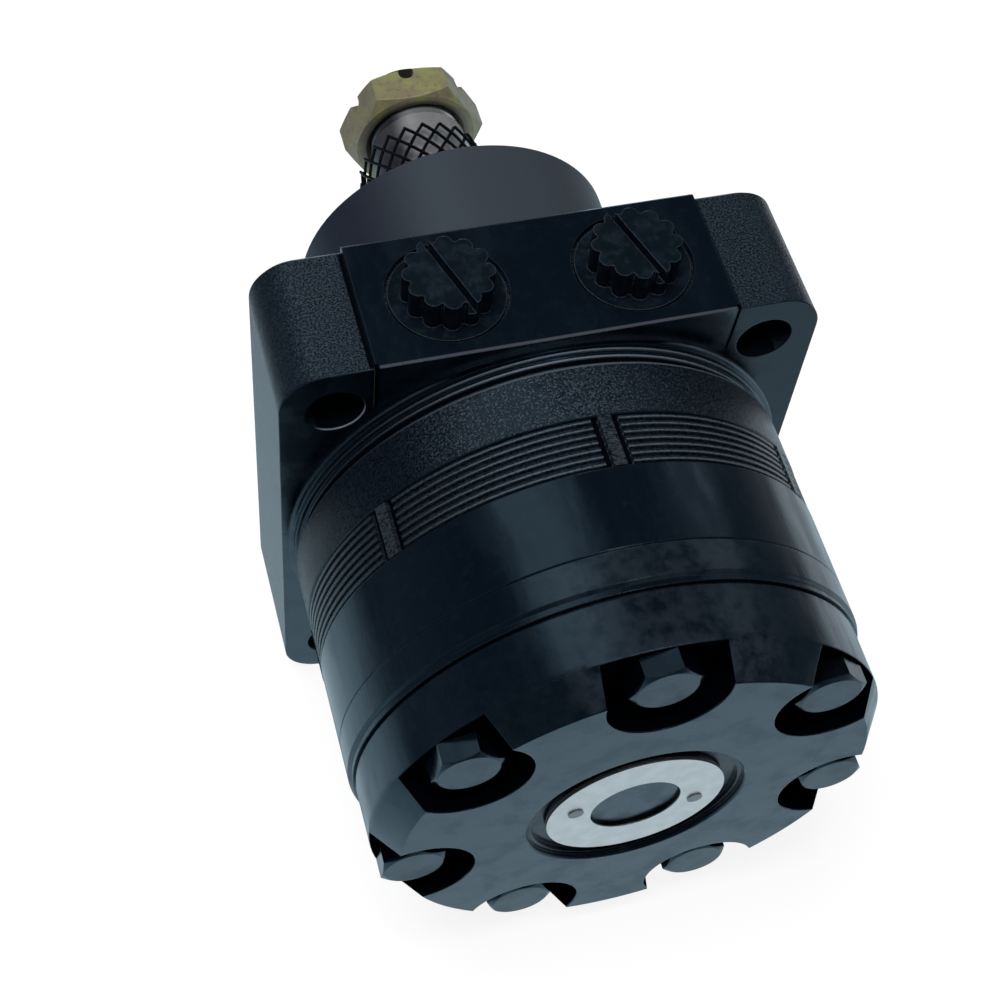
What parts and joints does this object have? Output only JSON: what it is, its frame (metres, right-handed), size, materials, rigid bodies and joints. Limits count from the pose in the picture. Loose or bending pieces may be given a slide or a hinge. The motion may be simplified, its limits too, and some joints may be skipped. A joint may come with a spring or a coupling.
{
  "type": "hydraulic wheel motor",
  "caption": "Hydraulic wheel motor with a square flange, plugged ports on a pad, a round bolted stack, a long pilot and a tapered shaft in a net sleeve with a slotted nut",
  "frame": {"origin": "centre of the wheel-mount flange's front face, on the shaft's line", "axes": "+Y runs along the shaft towards its nut, +Z points out of the port face, and +X completes them"},
  "size_m": [0.127, 0.2262, 0.1358],
  "materials": {
    "dark_paint": "satin",
    "steel": "machined",
    "hardened_steel": "ground",
    "bright_plate": "satin",
    "yellow_zinc": "zinc plated",
    "black_plastic": "satin",
    "rubber": "matte"
  },
  "bodies": {
    "motor_body": {"housing": "dark_paint", "dust_seal": "rubber", "seal_washer": "steel", "shaft_seal": "rubber", "front_bearing_shell": "steel", "rear_bearing_shell": "steel", "thrust_washer_front": "hardened_steel", "manifold": "dark_paint", "stator_ring": "dark_paint", "end_plate": "dark_paint", "balance_plate": "dark_paint", "end_cover": "dark_paint", "cover_bolts": "dark_paint", "ring_plate": "bright_plate", "plate_pins": "steel", "body_seal_1": "rubber", "body_seal_2": "rubber", "body_seal_3": "rubber", "body_seal_4": "rubber"},
    "output_shaft": {"shaft": "steel", "shaft_key": "steel", "shaft_nut": "yellow_zinc", "net_sleeve": "black_plastic", "thrust_washer_rear": "hardened_steel"},
    "front_bearing": {"front_needles": "hardened_steel", "front_cage": "steel"},
    "rear_bearing": {"rear_needles": "hardened_steel", "rear_cage": "steel"},
    "thrust_bearing": {"thrust_needles": "hardened_steel", "thrust_cage": "steel"},
    "spacer_orbit": {"link_spacer": "steel"},
    "rotor": {"rotor": "hardened_steel"},
    "drive_link": {"drive_link": "hardened_steel"},
    "seal_left": {"plug_seal_left": "rubber"},
    "plug_left": {"port_plug_left": "black_plastic"},
    "seal_right": {"plug_seal_right": "rubber"},
    "plug_right": {"port_plug_right": "black_plastic"},
    "roller_1": {"roller_1": "hardened_steel"},
    "roller_2": {"roller_2": "hardened_steel"},
    "roller_3": {"roller_3": "hardened_steel"},
    "roller_4": {"roller_4": "hardened_steel"},
    "roller_5": {"roller_5": "hardened_steel"},
    "roller_6": {"roller_6": "hardened_steel"},
    "roller_7": {"roller_7": "hardened_steel"}
  },
  "joints": [
    {"name": "shaft_spin", "type": "hinge", "parent": "motor_body", "child": "output_shaft", "pos_m": [0, 0, 0], "axis": [0, 1, 0], "continuous": true},
    {"name": "front_bearing_spin", "type": "hinge", "parent": "motor_body", "child": "front_bearing", "pos_m": [0, 0, 0], "axis": [0, 1, 0], "continuous": true},
    {"name": "rear_bearing_spin", "type": "hinge", "parent": "motor_body", "child": "rear_bearing", "pos_m": [0, 0, 0], "axis": [0, 1, 0], "continuous": true},
    {"name": "thrust_bearing_spin", "type": "hinge", "parent": "motor_body", "child": "thrust_bearing", "pos_m": [0, 0, 0], "axis": [0, 1, 0], "continuous": true},
    {"name": "rotor_orbit", "type": "hinge", "parent": "motor_body", "child": "spacer_orbit", "pos_m": [0, 0, 0], "axis": [0, 1, 0], "continuous": true},
    {"name": "rotor_spin", "type": "hinge", "parent": "spacer_orbit", "child": "rotor", "pos_m": [0, 0, -0.003], "axis": [0, 1, 0], "continuous": true},
    {"name": "link_spin", "type": "hinge", "parent": "spacer_orbit", "child": "drive_link", "pos_m": [0, -0.024, 0], "axis": [0, 0.9985, 0.0545], "continuous": true},
    {"name": "roller_1_spin", "type": "hinge", "parent": "motor_body", "child": "roller_1", "pos_m": [0.0154, -0.07895, 0.03198], "axis": [0, 1, 0], "continuous": true},
    {"name": "roller_2_spin", "type": "hinge", "parent": "motor_body", "child": "roller_2", "pos_m": [0.03461, -0.07895, 0.0079], "axis": [0, 1, 0], "continuous": true},
    {"name": "roller_3_spin", "type": "hinge", "parent": "motor_body", "child": "roller_3", "pos_m": [0.02775, -0.07895, -0.02213], "axis": [0, 1, 0], "continuous": true},
    {"name": "roller_4_spin", "type": "hinge", "parent": "motor_body", "child": "roller_4", "pos_m": [0, -0.07895, -0.0355], "axis": [0, 1, 0], "continuous": true},
    {"name": "roller_5_spin", "type": "hinge", "parent": "motor_body", "child": "roller_5", "pos_m": [-0.02775, -0.07895, -0.02213], "axis": [0, 1, 0], "continuous": true},
    {"name": "roller_6_spin", "type": "hinge", "parent": "motor_body", "child": "roller_6", "pos_m": [-0.03461, -0.07895, 0.0079], "axis": [0, 1, 0], "continuous": true},
    {"name": "roller_7_spin", "type": "hinge", "parent": "motor_body", "child": "roller_7", "pos_m": [-0.0154, -0.07895, 0.03198], "axis": [0, 1, 0], "continuous": true},
    {"name": "plug_left_lift", "type": "slide", "parent": "motor_body", "child": "seal_left", "axis": [0, 0, 1], "range_m": [0, 0.0164]},
    {"name": "plug_left_turn", "type": "hinge", "parent": "seal_left", "child": "plug_left", "pos_m": [-0.0218, -0.0185, 0.0634], "axis": [0, 0, 1], "range_deg": [0, 3240]},
    {"name": "plug_right_lift", "type": "slide", "parent": "motor_body", "child": "seal_right", "axis": [0, 0, 1], "range_m": [0, 0.0164]},
    {"name": "plug_right_turn", "type": "hinge", "parent": "seal_right", "child": "plug_right", "pos_m": [0.0218, -0.0185, 0.0634], "axis": [0, 0, 1], "range_deg": [0, 3240]}
  ],
  "couplings": [
    {"joint": "front_bearing_spin", "follows": "shaft_spin", "ratio": 0.44872},
    {"joint": "rear_bearing_spin", "follows": "shaft_spin", "ratio": 0.46512},
    {"joint": "thrust_bearing_spin", "follows": "shaft_spin", "ratio": 0.5},
    {"joint": "rotor_orbit", "follows": "shaft_spin", "ratio": -6},
    {"joint": "rotor_spin", "follows": "shaft_spin", "ratio": 7},
    {"joint": "link_spin", "follows": "shaft_spin", "ratio": 7},
    {"joint": "plug_left_lift", "follows": "plug_left_turn", "m_per_rad": 0.000289},
    {"joint": "plug_right_lift", "follows": "plug_right_turn", "m_per_rad": 0.000289}
  ]
}
